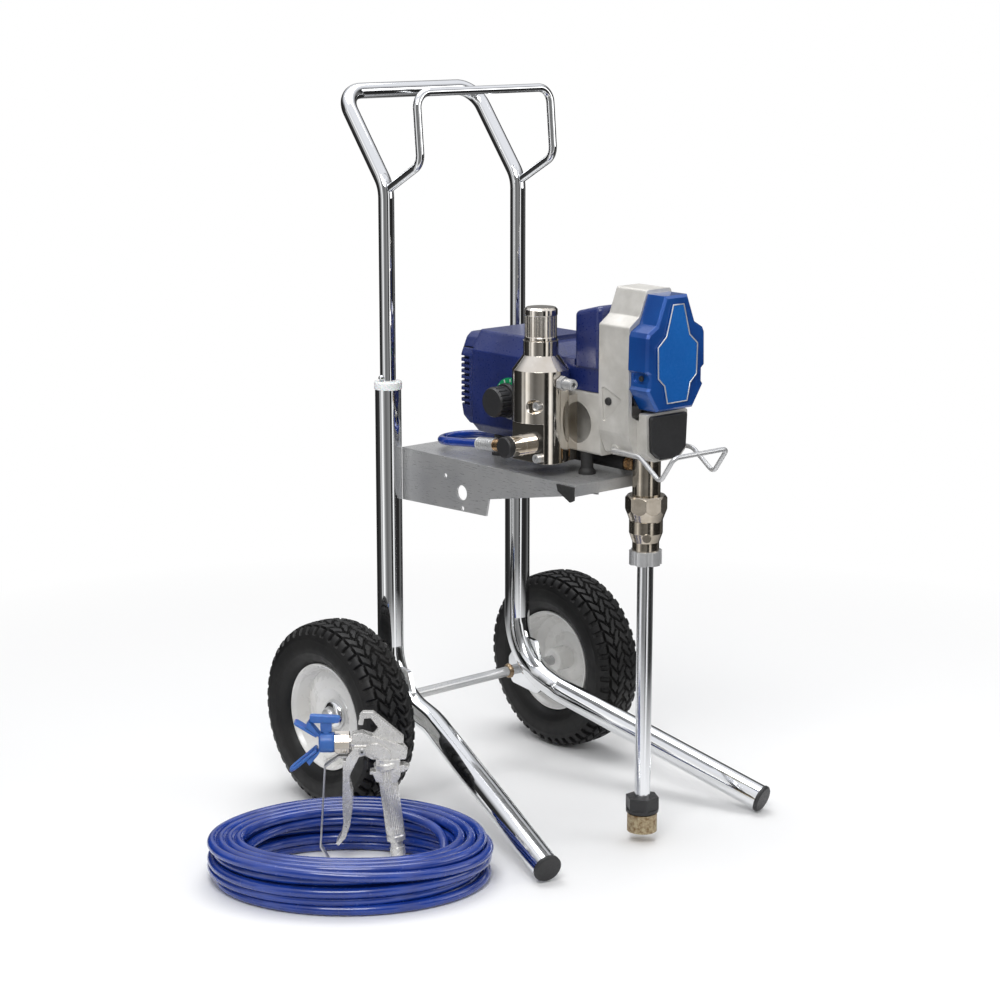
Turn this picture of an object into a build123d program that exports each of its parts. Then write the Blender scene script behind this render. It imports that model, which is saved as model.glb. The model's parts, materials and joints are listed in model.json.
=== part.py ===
"""Airless paint sprayer on a two-wheel high cart, with its spray gun and coiled hose.

Millimetres. The wheels and leg plugs stand on Z = 0. Each piece is modelled about the cart's
middle plane (X = 0) and its uprights (Y = 0); -Y is the front, where the legs and pump point.
At export the whole set is moved so the origin is under the middle of the footprint.
"""
import math
import os

from build123d import *

os.makedirs("parts", exist_ok=True)

# ---------------------------------------------------------------- driving dimensions
# frame tubes
upright_x = 115.0
tube_r = 17.4
tube_bore_r = 15.4
frame_top_z = 556.0
knee_z = 143.0
splay_y = -88.0
splay_z = 115.6
leg_tip = (193.0, -399.0, 19.6)
knee_radius = 85.0
splay_radius = 100.0
plug_r = 18.4
plug_head = 5.0

# axle and wheels
axle_y = -2.0
wheel_r = 127.0
axle_r = 7.0
axle_half = 229.0
wheel_x = 205.0
tyre_half = 38.0
rim_r = 72.0
hub_r = 17.0
hub_bore_r = 7.05
hub_in = 25.0
hub_out = 15.0

# telescoping handle and hose rack
handle_r = 10.5
handle_bore_r = 8.7
handle_foot_z = 430.0
handle_bend_z = 822.0
grip_y = 92.0
grip_z = 941.0
rack_r = 5.5
rack_foot = (-9.0, 821.0)
rack_knee = (-71.0, 855.0)
rack_top = (-63.0, 945.0)
collar_h = 11.0
button_r = 4.0
button_z = frame_top_z + collar_h + button_r + 0.4

# platform bracket
deck_half = 100.0
deck_z = 477.0
deck_front = -346.0
deck_rear = -10.0
deck_cut_x = 44.0
deck_cut_y = -292.0
sheet = 2.5

# motor and drive
motor_z = 572.0
shroud_rear = -105.0
shroud_front = -215.0
case_rear = -332.0
case_front = -387.0
cover_front = -419.0
crank_z = 608.0
gear_module = 1.0
pinion_teeth = 12
gear_teeth = 60
crank_throw = 8.0

# pump
pump_y = -370.0
suction_r = 10.2
strainer_foot_z = 14.0

# filter manifold
filter_x = -80.0
filter_y = -261.0
filter_r = 36.0
filter_foot_z = 495.0
filter_bore_r = 18.4

# hoses
link_r = 5.5
link_bend = 44.0
ferrule_end = 46.0
hose_r = 6.25
coil_centre = (-363.0, -222.0)
coil_half_long = 181.0
coil_half_short = 140.0
coil_band = 57.0
coil_height = 57.0

# spray gun
gun_foot = (-324.0, -190.0)
gun_heading = 138.6
coil_heading = gun_heading - 180.0

X = (1, 0, 0)
Y = (0, 1, 0)
Z = (0, 0, 1)


# ---------------------------------------------------------------- shared shapes
def bent_bar(points, radii, outer, inner=0.0):
    """Round bar or tube along straight runs joined by tangent bends."""
    with BuildPart() as piece:
        with BuildLine() as path:
            FilletPolyline(*points, radius=radii)
        with BuildSketch(Plane(origin=path.line @ 0, z_dir=path.line % 0)):
            Circle(outer)
            if inner:
                Circle(inner, mode=Mode.SUBTRACT)
        sweep()
    return piece.part


def lathe(origin, direction, profile, bore=0.0):
    """Body of revolution: profile is (radius, height) from the foot to the top."""
    base = Plane(origin=origin, z_dir=direction)
    section = Plane(origin=origin, x_dir=base.x_dir, z_dir=base.x_dir.cross(base.z_dir))
    outline = list(profile)
    if profile[0][0] > bore:
        outline.insert(0, (bore, profile[0][1]))
    if profile[-1][0] > bore:
        outline.append((bore, profile[-1][1]))
    with BuildPart() as piece:
        with BuildSketch(section):
            with BuildLine():
                Polyline(*outline, close=True)
            make_face()
        revolve(axis=Axis(origin, direction))
    return piece.part


def drum(origin, direction, radius, start, end, bore=0.0):
    """Plain cylinder or ring between two heights along a direction."""
    return lathe(origin, direction, [(radius, start), (radius, end)], bore)


def slab(plane, outline, thickness, corner=0.0):
    """Flat plate: an outline on a plane, raised along its normal."""
    with BuildPart() as piece:
        with BuildSketch(plane) as face:
            with BuildLine():
                Polyline(*outline, close=True)
            make_face()
            if corner:
                fillet(face.vertices(), corner)
        extrude(amount=thickness)
    return piece.part


def block(low, high):
    """Box between two opposite corners."""
    size = [b - a for a, b in zip(low, high)]
    centre = tuple((a + b) / 2 for a, b in zip(low, high))
    with BuildPart() as piece:
        with Locations(centre):
            Box(*size)
    return piece.part


def prism(origin, direction, sides, radius, start, end, bore=0.0):
    """Hexagonal or other regular bar, radius to its corners."""
    with BuildPart() as piece:
        with BuildSketch(Plane(origin=origin, z_dir=direction).offset(start)):
            RegularPolygon(radius, sides)
            if bore:
                Circle(bore, mode=Mode.SUBTRACT)
        extrude(amount=end - start)
    return piece.part


def mirrored(outline):
    """Close a right-hand outline with its mirror image about the first axis."""
    return outline + [(-a, b) for a, b in reversed(outline)]


def spur_gear(origin, direction, teeth, start, end, bore, phase=0.0):
    """Spur gear with straight-flanked teeth and a little backlash."""
    pitch_r = teeth * gear_module / 2
    root_r = pitch_r - 1.25 * gear_module
    tip_r = pitch_r + gear_module
    step = 2 * math.pi / teeth
    outline = []
    for tooth in range(teeth):
        mid = tooth * step + phase
        for radius, share in ((root_r, -0.30), (tip_r, -0.11), (tip_r, 0.11), (root_r, 0.30)):
            angle = mid + share * step
            outline.append((radius * math.cos(angle), radius * math.sin(angle)))
    with BuildPart() as piece:
        with BuildSketch(Plane(origin=origin, x_dir=X, z_dir=direction).offset(start)):
            with BuildLine():
                Polyline(*outline, close=True)
            make_face()
            if bore:
                Circle(bore, mode=Mode.SUBTRACT)
        extrude(amount=end - start)
    return piece.part


nodes = {}

# ---------------------------------------------------------------- cart frame
bracket_outline = [(14, 142), (14, 116), (6, 106), (-44, 100), (-62, 112), (-40, 176), (-12, 180)]
for name, side in (("left", -1), ("right", 1)):
    leg_path = [
        (side * upright_x, 0, frame_top_z),
        (side * upright_x, 0, knee_z),
        (side * upright_x, splay_y, splay_z),
        (side * leg_tip[0], leg_tip[1], leg_tip[2]),
    ]
    plate_plane = Plane(origin=(side * upright_x - 3, 0, 0), x_dir=Y, z_dir=X)
    with BuildPart() as lower_frame:
        add(bent_bar(leg_path, [knee_radius, splay_radius], tube_r))
        add(slab(plate_plane, bracket_outline, 6, 6))
        add(bent_bar(leg_path, [knee_radius, splay_radius], tube_bore_r), mode=Mode.SUBTRACT)
        add(drum((0, axle_y, wheel_r), X, axle_r, -axle_half, axle_half), mode=Mode.SUBTRACT)
    nodes["lower_frame_" + name] = lower_frame.part

with BuildPart() as leg_plugs:
    for side in (-1, 1):
        run = Vector(side * (leg_tip[0] - upright_x), leg_tip[1] - splay_y, leg_tip[2] - splay_z)
        tip = (side * leg_tip[0], leg_tip[1], leg_tip[2])
        plug_profile = [
            (tube_bore_r, -22), (tube_bore_r, 0), (plug_r, 0),
            (plug_r, plug_head - 2), (plug_r - 2, plug_head),
        ]
        add(lathe(tip, run.normalized(), plug_profile))
nodes["leg_plugs"] = leg_plugs.part

with BuildPart() as axle_bar:
    add(drum((0, axle_y, wheel_r), X, axle_r, -axle_half, axle_half))
nodes["axle_bar"] = axle_bar.part

with BuildPart() as frame_collars:
    collar_profile = [
        (tube_bore_r, -12), (tube_bore_r, 0), (tube_r + 1.1, 0),
        (tube_r + 1.1, collar_h - 2), (tube_r - 0.9, collar_h),
    ]
    for side in (-1, 1):
        foot = (side * upright_x, 0, frame_top_z)
        add(lathe(foot, Z, collar_profile, bore=handle_r + 0.3))
nodes["frame_collars"] = frame_collars.part

with BuildPart() as axle_caps:
    cap_profile = [(11, 0), (11, 4), (9, 8), (7.6, 8.6)]
    for side in (-1, 1):
        foot = (side * (wheel_x + hub_out + 0.4), axle_y, wheel_r)
        add(lathe(foot, (side, 0, 0), cap_profile, bore=axle_r))
nodes["axle_caps"] = axle_caps.part

# platform: folded sheet channel welded to the uprights
flange_outline = [
    (deck_rear, deck_z), (deck_rear, 406), (-180, 411), (-185, 434), (-338, 463), (deck_front, deck_z),
]
with BuildPart() as platform:
    for side in (-1, 1):
        low_x = side * (deck_half - sheet / 2) - sheet / 2
        add(slab(Plane(origin=(low_x, 0, 0), x_dir=Y, z_dir=X), flange_outline, sheet))
    add(block((-deck_half, deck_front, deck_z - sheet), (deck_half, deck_rear, deck_z)))
    add(block((-deck_half, deck_front, 463), (deck_half, deck_front + sheet, deck_z)))
    cut_corner = [
        (deck_cut_x, deck_front - 5), (deck_half + 5, deck_front - 5), (deck_half + 5, deck_cut_y),
        (deck_half - sheet, deck_cut_y), (deck_cut_x, deck_front + sheet),
    ]
    add(slab(Plane.XY.offset(400), cut_corner, 100), mode=Mode.SUBTRACT)
    for hole_y, hole_z, hole_r in ((-99, 452, 3.2), (-132, 434, 10.0), (-133, 413.5, 3.2)):
        add(drum((0, hole_y, hole_z), X, hole_r, -110, 110), mode=Mode.SUBTRACT)
    for hole_x, hole_y in ((-36, -300), (36, -300), (-36, -135), (36, -135)):
        add(drum((hole_x, hole_y, deck_z), Z, 3.3, -10, 10), mode=Mode.SUBTRACT)
nodes["platform"] = platform.part

# ---------------------------------------------------------------- handle and hose rack
handle_path = [
    (-upright_x, 0, handle_foot_z), (-upright_x, 0, handle_bend_z), (-upright_x, grip_y, grip_z),
    (upright_x, grip_y, grip_z), (upright_x, 0, handle_bend_z), (upright_x, 0, handle_foot_z),
]
with BuildPart() as handle_tube:
    add(bent_bar(handle_path, [42, 32, 32, 42], handle_r, handle_bore_r))
    add(drum((0, 0, button_z), X, button_r + 0.3, -upright_x - 20, -upright_x), mode=Mode.SUBTRACT)
    add(drum((0, 0, button_z), X, button_r + 0.3, upright_x, upright_x + 20), mode=Mode.SUBTRACT)
nodes["handle_tube"] = handle_tube.part

rack_path = [
    (-upright_x, *rack_foot), (-upright_x, *rack_knee), (-upright_x, *rack_top),
    (upright_x, *rack_top), (upright_x, *rack_knee), (upright_x, *rack_foot),
]
with BuildPart() as hose_rack:
    add(bent_bar(rack_path, [20, 20, 20, 20], rack_r))
    for side in (-1, 1):
        add(drum((side * upright_x, 0, 0), Z, handle_r, 780, 850), mode=Mode.SUBTRACT)
nodes["hose_rack"] = hose_rack.part

with BuildPart() as handle_guides:
    for side in (-1, 1):
        foot = (side * upright_x, 0, handle_foot_z)
        add(drum(foot, Z, tube_bore_r - 0.3, 0, 30, bore=handle_r))
        add(drum(foot, Z, tube_bore_r - 0.3, -4, 0))
nodes["handle_guides"] = handle_guides.part

for name, side in (("left", -1), ("right", 1)):
    with BuildPart() as snap_button:
        origin = (side * upright_x, 0, button_z)
        button_profile = [
            (button_r + 1.4, 0.5), (button_r + 1.4, 5.8), (button_r, 5.8), (button_r, 11.5),
            (2.8, 14), (1.2, 14.8),
        ]
        add(lathe(origin, (side, 0, 0), button_profile))
    nodes["snap_button_" + name] = snap_button.part

# ---------------------------------------------------------------- wheels
tyre_outer = [
    (rim_r, -24), (80, -33), (92, -37.6), (104, -37.6), (114, -35.5), (121, -31), (125.4, -22),
    (wheel_r, -9), (wheel_r, 9), (125.4, 22), (121, 31), (114, 35.5), (104, 37.6), (92, 37.6),
    (80, 33), (rim_r, 24),
]
tyre_cavity = [
    (rim_r + 4, -15), (84, -26), (96, -30.5), (108, -28.5), (116, -21), (118.5, -8),
    (118.5, 8), (116, 21), (108, 28.5), (96, 30.5), (84, 26), (rim_r + 4, 15),
]
rim_ring = [
    (rim_r - 2.4, -27), (rim_r, -27), (rim_r, 27), (rim_r - 2.4, 27), (66, 22), (61, 4),
    (61, -4), (66, -22),
]
rim_web = [(16.9, 3), (24, 3), (36, 9), (50, 7), (63.5, -4), (63.5, 4), (51, 10), (36, 12), (23, 6), (16.9, 6)]
hub_profile = [(13.5, -hub_in), (hub_r, -hub_in + 2), (hub_r, hub_out - 2), (13.5, hub_out)]
for name, side in (("left", -1), ("right", 1)):
    hub_origin = (side * wheel_x, axle_y, wheel_r)
    outward = (side, 0, 0)
    with BuildPart() as tyre:
        add(lathe(hub_origin, outward, tyre_outer, bore=rim_r))
        add(lathe(hub_origin, outward, tyre_cavity, bore=rim_r - 1), mode=Mode.SUBTRACT)
    nodes["tyre_" + name] = tyre.part

    section = Plane(origin=hub_origin, x_dir=Y, z_dir=Vector(0, 1, 0).cross(Vector(outward)))
    with BuildPart() as rim:
        with BuildSketch(section):
            for outline in (rim_ring, rim_web):
                with BuildLine():
                    Polyline(*outline, close=True)
                make_face()
        revolve(axis=Axis(hub_origin, outward))
        valve_at = (side * (wheel_x + 4), axle_y, wheel_r - 55)
        add(drum(valve_at, (side, 0, -0.1), 3.2, 0, 22))
        add(lathe(hub_origin, outward, hub_profile, bore=hub_bore_r))
    nodes["rim_" + name] = rim.part

# ---------------------------------------------------------------- motor
shroud_half = mirrored([(46, 505), (58, 518), (58, 614), (43, 640)])
shroud_inner = mirrored([(44.5, 508), (55, 519.5), (55, 613), (41.5, 637)])
rear_face = Plane(origin=(0, shroud_rear, 0), x_dir=X, z_dir=(0, -1, 0))
with BuildPart() as motor_shroud:
    add(slab(rear_face, shroud_half, shroud_rear - shroud_front, 5))
    add(slab(rear_face, shroud_inner, shroud_rear - shroud_front - 3, 4), mode=Mode.SUBTRACT)
    add(drum((0, 0, motor_z), Y, 9, shroud_front - 5, shroud_front + 5), mode=Mode.SUBTRACT)
    add(lathe((0, -150, 545), X, [(9, 57), (9, 70), (7.5, 71), (6, 80), (4, 82)]))
nodes["motor_shroud"] = motor_shroud.part

end_outline = mirrored([(38, 511), (50, 524), (54, 545), (54, 606), (44, 628), (36, 634)])
fin_pitch = 7.6
with BuildPart() as motor_end_cover:
    add(slab(rear_face.offset(-33), end_outline, 33, 8))
    chamfer(motor_end_cover.faces().sort_by(Axis.Y)[-1].edges(), 6)
    add(block((-50, shroud_rear - 1, 527), (50, -76, 616)), mode=Mode.SUBTRACT)
    for slot in range(9):
        slot_z = 541 + slot * fin_pitch
        add(block((-60, -94, slot_z - 1.9), (60, -60, slot_z + 1.9)), mode=Mode.SUBTRACT)
    add(block((-6, -80, 530), (6, -74, 612)))
    for rib_x in (-34, 34):
        add(block((rib_x - 3, -80, 530), (rib_x + 3, -74, 612)))
    add(block((-47, -96, 530), (-44, -76, 612)))
    add(block((44, -96, 530), (47, -76, 612)))
nodes["motor_end_cover"] = motor_end_cover.part

with BuildPart() as motor_stator:
    add(drum((0, 0, motor_z), Y, 44, -200, -130, bore=27.5))
    add(block((-38, -200, 508), (38, -130, 513)))
    add(block((-6, -200, 512), (6, -130, motor_z - 43)))
nodes["motor_stator"] = motor_stator.part

with BuildPart() as armature:
    add(drum((0, 0, motor_z), Y, 5, -337.5, -112))
    add(drum((0, 0, motor_z), Y, 26.5, -196, -134))
    add(drum((0, 0, motor_z), Y, 13, -134, -118))
    add(drum((0, 0, motor_z), Y, 11, -112, -100))
    add(drum((0, 0, motor_z), Y, 40, -112, -110))
    for blade in range(8):
        with BuildSketch(Plane(origin=(0, -110, motor_z), x_dir=X, z_dir=Y)):
            with PolarLocations(23, 1, start_angle=blade * 45):
                Rectangle(26, 2.4)
        extrude(amount=9)
    add(spur_gear((0, 0, motor_z), (0, -1, 0), pinion_teeth, 337.5, 350, 0, phase=math.pi / 2))
nodes["armature"] = armature.part

half_gap = math.pi / gear_teeth
with BuildPart() as reduction_gear:
    add(spur_gear((0, 0, crank_z), (0, -1, 0), gear_teeth, 339, 348, 3.0, -math.pi / 2 + half_gap))
    add(drum((0, 0, crank_z), (0, -1, 0), 6, 334, 356))
    add(drum((0, 0, crank_z), (0, -1, 0), 20, 351, 357))
    add(drum((0, 0, crank_z - crank_throw), (0, -1, 0), 6, 355, 379))
nodes["reduction_gear"] = reduction_gear.part

with BuildPart() as connecting_rod:
    pin_z = crank_z - crank_throw
    add(drum((0, 0, pin_z), (0, -1, 0), 11, 364, 376))
    add(block((-6, -375, 553), (6, -365, pin_z - 8)))
    add(drum((0, 0, pin_z), (0, -1, 0), 6.06, 360, 380), mode=Mode.SUBTRACT)
nodes["connecting_rod"] = connecting_rod.part

# ---------------------------------------------------------------- drive castings and covers
hood_z = 584.0
cradle_outline = [
    (case_rear, 505), (case_rear, hood_z), (shroud_front, hood_z), (shroud_front, 512), (-222, 505),
]
with BuildPart() as cradle:
    add(slab(Plane(origin=(-44, 0, 0), x_dir=Y, z_dir=X), cradle_outline, 88))
    fillet(cradle.edges().filter_by(Axis.Y), 4)
    for mouth_x in (-45, 24):
        with BuildSketch(Plane(origin=(mouth_x, -285, 542), x_dir=Y, z_dir=X)):
            Ellipse(30, 27)
        extrude(amount=21, mode=Mode.SUBTRACT)
    add(drum((0, 0, motor_z), Y, 8, -340, -200), mode=Mode.SUBTRACT)
nodes["cradle"] = cradle.part

with BuildPart() as cradle_feet:
    for foot_x, foot_y in ((-36, -300), (36, -300), (-36, -135), (36, -135)):
        add(lathe((foot_x, foot_y, deck_z), Z, [(11, 0), (11, 4), (8, 8), (8, 505 - deck_z)]))
nodes["cradle_feet"] = cradle_feet.part

hood_outline = [
    (shroud_front, hood_z), (shroud_front, 634), (-232, 634), (-262, 622), (-284, 622),
    (-284, 614), (case_rear, 614), (case_rear, hood_z),
]
with BuildPart() as gear_hood:
    add(slab(Plane(origin=(-43.6, 0, 0), x_dir=Y, z_dir=X), hood_outline, 87.2))
    chamfer(gear_hood.edges().filter_by(Axis.Y).group_by(Axis.Z)[-1], 12)
nodes["gear_hood"] = gear_hood.part

box_outline = [(-284, 614), (-284, 682), (case_rear, 694), (case_rear, 614)]
with BuildPart() as electronics_cover:
    add(slab(Plane(origin=(-46, 0, 0), x_dir=Y, z_dir=X), box_outline, 92))
    fillet(electronics_cover.edges().filter_by(Axis.Z), 8)
    fillet(electronics_cover.faces().sort_by(Axis.Z)[-1].edges(), 7)
    add(block((-40, -328, 618), (40, -290, 674)), mode=Mode.SUBTRACT)
    add(block((42.4, -320, 642), (50, -300, 660)), mode=Mode.SUBTRACT)
nodes["electronics_cover"] = electronics_cover.part

with BuildPart() as power_switch:
    rocker_outline = [(44.4, 645), (49.6, 644.6), (47.6, 651), (49.6, 657.4), (44.4, 657)]
    add(slab(Plane(origin=(0, -302.4, 0), x_dir=X, z_dir=(0, -1, 0)), rocker_outline, 15.2))
    add(drum((44.6, 0, 651), Y, 2.0, -317.6, -302.4))
nodes["power_switch"] = power_switch.part

case_outline = mirrored([
    (24, 505), (38, 512), (50, 540), (50, 672), (33, 684), (20, 716),
])
case_back = Plane(origin=(0, case_rear, 0), x_dir=X, z_dir=(0, -1, 0))
with BuildPart() as drive_housing:
    add(slab(case_back, case_outline, case_rear - case_front, 4))
    nose_outline = mirrored([(22, 505), (34, 516), (36, 566)])
    add(slab(case_back.offset(case_rear - case_front), nose_outline, 17, 3))
    for side in (-1, 1):
        add(drum((side * 30, -356, 517), (side, 0, 0), 6.5, 0, 13.2))
    chamfer(drive_housing.faces().sort_by(Axis.Y)[-1].edges(), 2.5)
    cavity = mirrored([(20, 548), (44, 562), (44, 664), (26, 676)])
    add(slab(case_back.offset(4), cavity, case_rear - case_front, 4), mode=Mode.SUBTRACT)
    add(block((-12, -382, 520), (12, -358, 560)), mode=Mode.SUBTRACT)
    add(drum((0, pump_y, 500), Z, 8.2, 0, 40), mode=Mode.SUBTRACT)
    add(drum((0, 0, motor_z), Y, 8, -340, -330), mode=Mode.SUBTRACT)
    add(drum((0, 0, crank_z), Y, 6.05, -340, -333), mode=Mode.SUBTRACT)
    for side in (-1, 1):
        add(drum((side * 30, -356, 517), (side, 0, 0), 3.0, 3, 14), mode=Mode.SUBTRACT)
        recess = [(-340, 596), (-376, 582), (-342, 548)]
        recess_plane = Plane(origin=(side * 50 - 2.5, 0, 0), x_dir=Y, z_dir=X)
        add(slab(recess_plane, recess, 5, 3), mode=Mode.SUBTRACT)
nodes["drive_housing"] = drive_housing.part

cover_right = [
    (31, 570), (49, 597), (46, 601), (46, 617), (51, 621), (50, 662), (47, 668), (33, 676), (19, 711),
]
with BuildPart() as front_cover:
    cover_depth = case_front - cover_front
    add(slab(case_back.offset(case_rear - case_front), mirrored(cover_right), cover_depth))
    chamfer(front_cover.faces().sort_by(Axis.Y)[0].edges(), 3)
    cover_hollow = mirrored([(24, 590), (38, 612), (38, 650), (14, 690)])
    add(slab(case_back.offset(case_rear - case_front), cover_hollow, cover_depth - 8, 3), mode=Mode.SUBTRACT)
    for side in (-1, 1):
        pocket = Plane(origin=(side * 44, -404, 612), x_dir=Y, z_dir=(side, 0, 0))
        with BuildSketch(pocket):
            SlotOverall(26, 14)
        extrude(amount=12, mode=Mode.SUBTRACT)
nodes["front_cover"] = front_cover.part

panel_right = [(17, 580), (22, 602), (33, 612), (34, 650), (20, 662), (9, 700)]
with BuildPart() as label_panel:
    add(slab(Plane(origin=(0, cover_front, 0), x_dir=X, z_dir=(0, -1, 0)), mirrored(panel_right), 2.0, 3))
nodes["label_panel"] = label_panel.part

with BuildPart() as access_door:
    door_outline = mirrored([(18, 509), (30, 519), (32, 563)])
    add(slab(Plane(origin=(0, -404.4, 0), x_dir=X, z_dir=(0, -1, 0)), door_outline, 5, 4))
    chamfer(access_door.faces().sort_by(Axis.Y)[0].edges(), 1.5)
    add(drum((0, -407, 509.5), X, 2.4, -14, 14))
nodes["access_door"] = access_door.part

hook_arm = 46.6
hook_side = [(-356, 517), (-404, 515), (-440, 489), (-463, 522)]
hook_path = [(-36, *hook_side[0])]
hook_path += [(-hook_arm, y, z) for y, z in hook_side]
hook_path += [(hook_arm, y, z) for y, z in reversed(hook_side)]
hook_path += [(36, *hook_side[0])]
with BuildPart() as pail_hook:
    add(bent_bar(hook_path, [3.4, 18, 7, 8, 8, 7, 18, 3.4], 2.9))
nodes["pail_hook"] = pail_hook.part

# ---------------------------------------------------------------- pump
pump_axis = (0, pump_y, 0)
with BuildPart() as pump_cylinder:
    add(drum(pump_axis, Z, 17.7, 456, 505, bore=8.2))
    add(drum((0, -352.5, 491), Y, 6.2, -8, 12), mode=Mode.SUBTRACT)
nodes["pump_cylinder"] = pump_cylinder.part

with BuildPart() as pump_nut:
    add(prism(pump_axis, Z, 8, 26.5, 424, 456, bore=17.7))
    cone = lathe(pump_axis, Z, [(21, 424), (27, 440), (27, 452), (23.5, 456)])
    add(cone, mode=Mode.INTERSECT)
    add(drum(pump_axis, Z, 14, 420, 460), mode=Mode.SUBTRACT)
    add(drum(pump_axis, Z, 17.7, 440, 460), mode=Mode.SUBTRACT)
nodes["pump_nut"] = pump_nut.part

with BuildPart() as intake_body:
    add(lathe(pump_axis, Z, [(17, 385), (17, 396), (21.3, 408), (21.3, 424)], bore=12))
    add(drum((0, pump_y, 404), Vector(-0.66, -0.75, 0), 5.5, 16, 22.4))
    add(drum(pump_axis, Z, 13.9, 424, 440, bore=12))
nodes["intake_body"] = intake_body.part

with BuildPart() as suction_nut:
    add(drum(pump_axis, Z, 20.6, 367, 385, bore=12.2))
    with BuildSketch(Plane(origin=(0, pump_y, 360))):
        with PolarLocations(22.4, 6):
            Circle(5)
    extrude(amount=30, mode=Mode.SUBTRACT)
nodes["suction_nut"] = suction_nut.part

with BuildPart() as suction_tube:
    add(lathe(pump_axis, Z, [(suction_r, 40), (suction_r, 372), (12.0, 374), (12.0, 384)], bore=8.4))
nodes["suction_tube"] = suction_tube.part

with BuildPart() as strainer_bushing:
    add(prism(pump_axis, Z, 6, 22, 44, 60, bore=suction_r))
    add(lathe(pump_axis, Z, [(17, 26), (17, 38), (21, 40), (21, 44)], bore=suction_r))
nodes["strainer_bushing"] = strainer_bushing.part

with BuildPart() as strainer:
    add(drum(pump_axis, Z, 19.3, strainer_foot_z, 38, bore=17))
    add(drum(pump_axis, Z, 17, strainer_foot_z, strainer_foot_z + 2))
nodes["strainer"] = strainer.part

with BuildPart() as pump_rod:
    add(drum(pump_axis, Z, 7.5, 442, 528))
    add(drum(pump_axis, Z, 8.12, 460, 468))
nodes["pump_rod"] = pump_rod.part

# ---------------------------------------------------------------- filter and controls
filter_axis = (filter_x, filter_y, 0)
with BuildPart() as manifold:
    add(lathe(filter_axis, Z, [(filter_r, filter_foot_z), (filter_r, 611), (22.3, 629), (22.3, 647)]))
    add(block((filter_x, -290, filter_foot_z), (-44, -234, 578)))
    add(block((-125, -305, filter_foot_z - 1), (-101, -222, 546)), mode=Mode.SUBTRACT)
    add(drum((0, -246, 514), X, 13.5, -120, -96))
    add(drum((-88, 0, 505), Y, 9.0, -250, -224))
    for bolt_z in (568, 502):
        add(drum((0, -281, bolt_z), X, 9, -130, -101), mode=Mode.SUBTRACT)
        add(drum((0, -281, bolt_z), X, 3.1, -110, -40), mode=Mode.SUBTRACT)
    add(drum(filter_axis, Z, filter_bore_r, 508, 650), mode=Mode.SUBTRACT)
    add(drum((filter_x, 0, 597), (0, -1, 0), 6.0, 285, 300), mode=Mode.SUBTRACT)
nodes["manifold"] = manifold.part

with BuildPart() as filter_cap:
    cap_rings = [
        (18.0, 616), (18.0, 647.4), (20.9, 647.4), (20.9, 651), (20.2, 652), (20.2, 678),
        (20.9, 679), (20.9, 685.5), (18.4, 688),
    ]
    add(lathe(filter_axis, Z, cap_rings))
    with BuildSketch(Plane(origin=(filter_x, filter_y, 652))):
        with PolarLocations(20.4, 30):
            Circle(0.7)
    extrude(amount=26, mode=Mode.SUBTRACT)
nodes["filter_cap"] = filter_cap.part

with BuildPart() as manifold_bolts:
    for bolt_z in (568, 502):
        add(drum((0, -281, bolt_z), X, 3.1, -101, -44))
        add(drum((0, -281, bolt_z), X, 5.4, -107, -101))
        add(prism((0, -281, bolt_z), X, 6, 3.0, -108, -104), mode=Mode.SUBTRACT)
nodes["manifold_bolts"] = manifold_bolts.part

with BuildPart() as outlet_nipple:
    outlet_axis = (filter_x, 0, 597)
    add(drum(outlet_axis, (0, -1, 0), 6.0, 287, 322, bore=3))
    add(prism(outlet_axis, (0, -1, 0), 6, 9.2, 298, 306, bore=3))
    add(drum(outlet_axis, (0, -1, 0), 7.1, 308, 320, bore=3))
nodes["outlet_nipple"] = outlet_nipple.part

with BuildPart() as drain_knob:
    add(lathe((0, -246, 514), (-1, 0, 0), [(13.2, 120.4), (13.5, 122), (13.5, 128), (12, 129.5)]))
nodes["drain_knob"] = drain_knob.part

knob_axis = (0, -180, 558)
with BuildPart() as pressure_dial:
    add(lathe(knob_axis, (-1, 0, 0), [(20, 58), (20, 64), (22.5, 64), (22.5, 66), (21.5, 70)]))
nodes["pressure_dial"] = pressure_dial.part

with BuildPart() as pressure_knob:
    add(lathe(knob_axis, (-1, 0, 0), [(19.5, 70.3), (19.5, 88), (17.5, 91)]))
    with BuildSketch(Plane(origin=(-70.3, -180, 558), z_dir=(-1, 0, 0)).offset(3)):
        with PolarLocations(20.2, 18):
            Circle(1.5)
    extrude(amount=25, mode=Mode.SUBTRACT)
nodes["pressure_knob"] = pressure_knob.part

# short hose from the pump to the filter, held at both ends
link_path = [(0, -340, 491), (0, -50, 491), (-88, -50, 491), (-88, -200, 505)]
with BuildPart() as link_hose:
    add(bent_bar(link_path, [link_bend - 0.2, link_bend - 0.2], link_r))
nodes["link_hose"] = link_hose.part

with BuildPart() as link_sheath:
    add(drum((0, 0, 491), Y, 9.5, -336, -232, bore=link_r))
nodes["link_sheath"] = link_sheath.part

with BuildPart() as link_fittings:
    hose_end = Vector(0, 150, -14).normalized()
    add(drum((-88, -200, 505), hose_end, 8.3, -16, ferrule_end))
    add(drum((-88, 0, 505), Y, 6, -224, -212))
    add(drum((-88, -200, 505), hose_end, link_r, 0, ferrule_end + 1), mode=Mode.SUBTRACT)
    add(drum((0, 0, 491), Y, 6.0, -360, -352))
    add(prism((0, 0, 491), Y, 6, 9.5, -352, -345))
    add(drum((0, 0, 491), Y, 7.5, -345, -340))
    add(drum((0, 0, 491), Y, 8.6, -340, -336, bore=link_r))
nodes["link_fittings"] = link_fittings.part

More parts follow.
